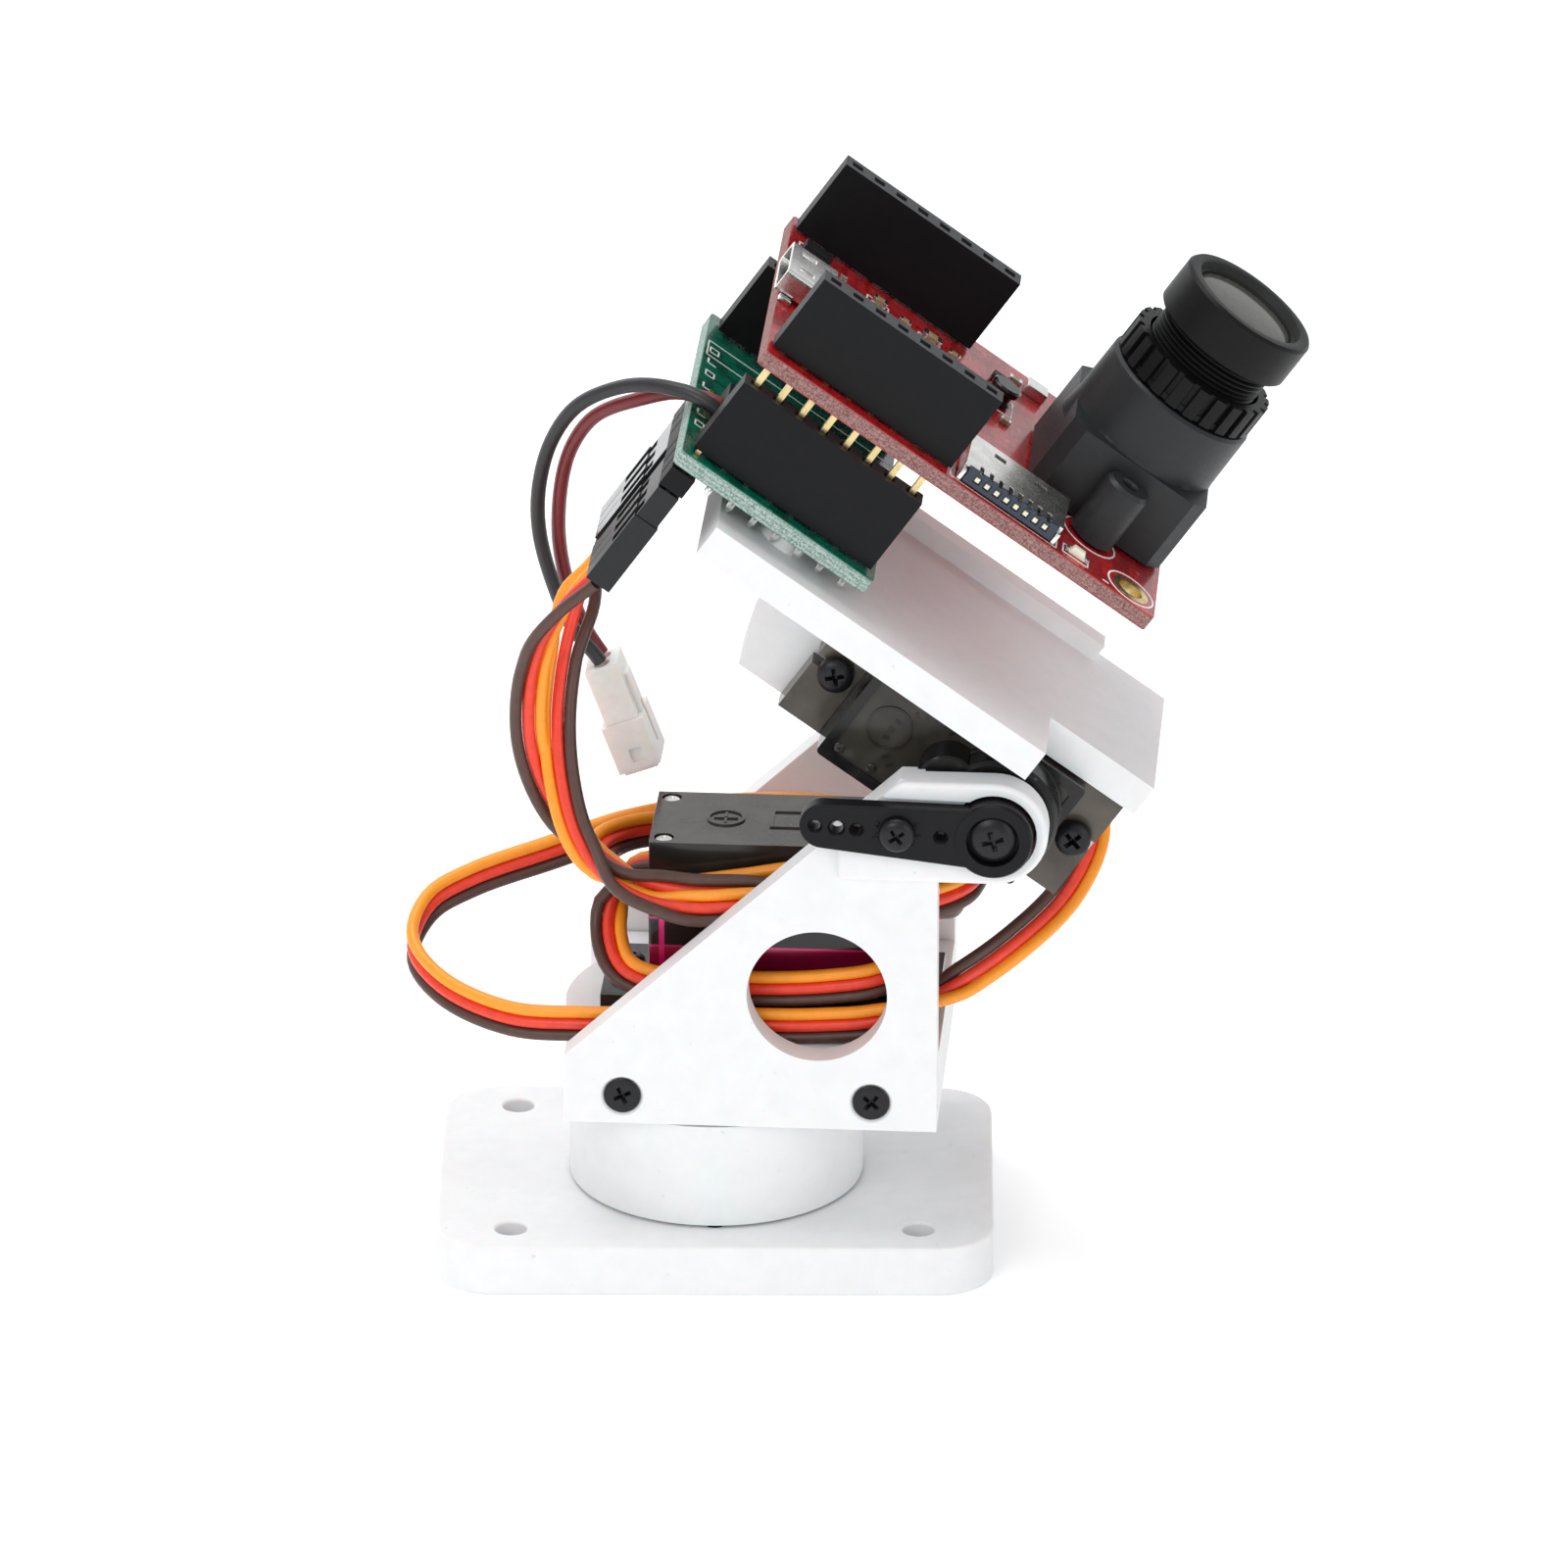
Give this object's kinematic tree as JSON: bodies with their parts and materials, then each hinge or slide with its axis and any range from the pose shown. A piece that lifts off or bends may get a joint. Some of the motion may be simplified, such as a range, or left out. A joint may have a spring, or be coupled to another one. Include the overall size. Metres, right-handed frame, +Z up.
{
  "type": "pan tilt camera mount",
  "caption": "Desk stand whose servos turn a bracket and tip a platform that carries a small lens camera board on a shield board, with looped servo leads.",
  "frame": {"origin": "middle of the base plate's underside, on the pan axis", "axes": "+Z up along the pan axis; +X along the base plate's long side, towards the tilt servo's axis; +Y to the far side plate"},
  "size_m": [0.0856, 0.0415, 0.1013],
  "materials": {
    "white_print": "smooth printed plastic, satin",
    "smoked_case": "smoked translucent plastic",
    "black_steel": "black oxide",
    "black_plastic": "moulded, satin",
    "steel": "bright",
    "brass": "machined",
    "white_nylon": "moulded nylon",
    "red_board": "solder mask over glass fibre",
    "green_board": "solder mask over glass fibre",
    "servo_wire": "three soft vinyl wires side by side",
    "power_wire": "two soft vinyl wires"
  },
  "bodies": {
    "base": {"base_plate": "white_print", "drum": "white_print", "drum_screw_1": "black_steel", "drum_screw_2": "black_steel", "pan_horn": "black_plastic", "pan_horn_screw": "black_steel", "pan_output_gear": "white_nylon"},
    "bracket": {"far_side_plate": "white_print", "floor_block": "white_print", "near_side_plate": "white_print", "pan_lead": "servo_wire", "pan_servo_bottom_cover": "smoked_case", "pan_servo_ear_screw_1": "black_steel", "pan_servo_ear_screw_2": "black_steel", "pan_servo_gear_cover": "smoked_case", "pan_servo_gear_pin": "steel", "pan_servo_middle_case": "smoked_case", "pan_servo_motor": "steel", "side_screw_1": "black_steel", "side_screw_2": "black_steel", "side_screw_3": "black_steel", "side_screw_4": "black_steel", "tilt_horn": "black_plastic", "tilt_horn_arm_screw": "black_steel", "tilt_horn_screw": "black_steel", "tilt_lead": "servo_wire", "tilt_output_gear": "white_nylon"},
    "platform": {"camera_board": "red_board", "camera_header_far": "black_plastic", "camera_header_near": "black_plastic", "lens_holder": "black_plastic", "memory_card_socket": "steel", "pan_lead_plug": "black_plastic", "platform": "white_print", "power_lead": "power_wire", "power_plug": "white_nylon", "servo_pin_header": "black_plastic", "shield_board": "green_board", "shield_header_far": "black_plastic", "shield_header_near": "black_plastic", "shield_screw": "black_steel", "tilt_lead_plug": "black_plastic", "tilt_servo_bottom_cover": "smoked_case", "tilt_servo_ear_screw_1": "black_steel", "tilt_servo_ear_screw_2": "black_steel", "tilt_servo_gear_cover": "smoked_case", "tilt_servo_gear_pin": "steel", "tilt_servo_middle_case": "smoked_case", "tilt_servo_motor": "steel", "usb_socket": "steel"},
    "lens_lock_ring": {"lens_lock_ring": "black_plastic"},
    "lens_barrel": {"lens_barrel": "black_plastic"},
    "pan_gear_1": {"pan_gear_1": "white_nylon"},
    "pan_gear_2": {"pan_gear_2": "white_nylon"},
    "pan_gear_3": {"pan_gear_3": "white_nylon"},
    "pan_motor_pinion": {"pan_motor_pinion": "brass"},
    "tilt_gear_1": {"tilt_gear_1": "white_nylon"},
    "tilt_gear_2": {"tilt_gear_2": "white_nylon"},
    "tilt_gear_3": {"tilt_gear_3": "white_nylon"},
    "tilt_motor_pinion": {"tilt_motor_pinion": "brass"}
  },
  "joints": [
    {"name": "pan", "type": "hinge", "parent": "base", "child": "bracket", "pos_m": [0, 0, 0], "axis": [0, 0, 1], "range_deg": [-86, 94]},
    {"name": "tilt", "type": "hinge", "parent": "bracket", "child": "platform", "pos_m": [0.02724, -0.00176, 0.0472], "axis": [0.0645, 0.9979, 0], "range_deg": [-30, 70], "deforming": ["pan_lead", "tilt_lead"]},
    {"name": "pan_gear_3_spin", "type": "hinge", "parent": "bracket", "child": "pan_gear_3", "pos_m": [0.00575, -0.00037, 0.03], "axis": [0, 0, 1], "range_deg": [-258, 282]},
    {"name": "pan_gear_2_spin", "type": "hinge", "parent": "bracket", "child": "pan_gear_2", "pos_m": [0, 0, 0.03], "axis": [0, 0, 1], "range_deg": [-846, 774]},
    {"name": "pan_gear_1_spin", "type": "hinge", "parent": "bracket", "child": "pan_gear_1", "pos_m": [0.00575, -0.00037, 0.03], "axis": [0, 0, 1], "range_deg": [-2322, 2538]},
    {"name": "pan_motor_pinion_spin", "type": "hinge", "parent": "bracket", "child": "pan_motor_pinion", "pos_m": [0.0115, -0.00074, 0.03], "axis": [0, 0, 1], "range_deg": [-7614, 6966]},
    {"name": "tilt_gear_3_spin", "type": "hinge", "parent": "platform", "child": "tilt_gear_3", "pos_m": [0.02224, -0.00645, 0.05054], "axis": [0.0645, 0.9979, 0], "range_deg": [-90, 210]},
    {"name": "tilt_gear_2_spin", "type": "hinge", "parent": "platform", "child": "tilt_gear_2", "pos_m": [0.02692, -0.00675, 0.0472], "axis": [0.0645, 0.9979, 0], "range_deg": [-630, 270]},
    {"name": "tilt_gear_1_spin", "type": "hinge", "parent": "platform", "child": "tilt_gear_1", "pos_m": [0.02224, -0.00645, 0.05054], "axis": [0.0645, 0.9979, 0], "range_deg": [-810, 1890]},
    {"name": "tilt_motor_pinion_spin", "type": "hinge", "parent": "platform", "child": "tilt_motor_pinion", "pos_m": [0.01756, -0.00615, 0.05389], "axis": [0.0645, 0.9979, 0], "range_deg": [-5670, 2430]},
    {"name": "focus", "type": "hinge", "parent": "platform", "child": "lens_barrel", "pos_m": [0.04371, 0.00138, 0.08476], "axis": [0.5795, -0.0375, 0.8141], "range_deg": [-360, 360]},
    {"name": "lens_lock", "type": "hinge", "parent": "platform", "child": "lens_lock_ring", "pos_m": [0.04371, 0.00138, 0.08476], "axis": [0.5795, -0.0375, 0.8141], "range_deg": [-360, 360]}
  ],
  "couplings": [
    {"joint": "pan_gear_3_spin", "follows": "pan", "ratio": 3},
    {"joint": "pan_gear_2_spin", "follows": "pan", "ratio": -9},
    {"joint": "pan_gear_1_spin", "follows": "pan", "ratio": 27},
    {"joint": "pan_motor_pinion_spin", "follows": "pan", "ratio": -81},
    {"joint": "tilt_gear_3_spin", "follows": "tilt", "ratio": 3},
    {"joint": "tilt_gear_2_spin", "follows": "tilt", "ratio": -9},
    {"joint": "tilt_gear_1_spin", "follows": "tilt", "ratio": 27},
    {"joint": "tilt_motor_pinion_spin", "follows": "tilt", "ratio": -81}
  ]
}
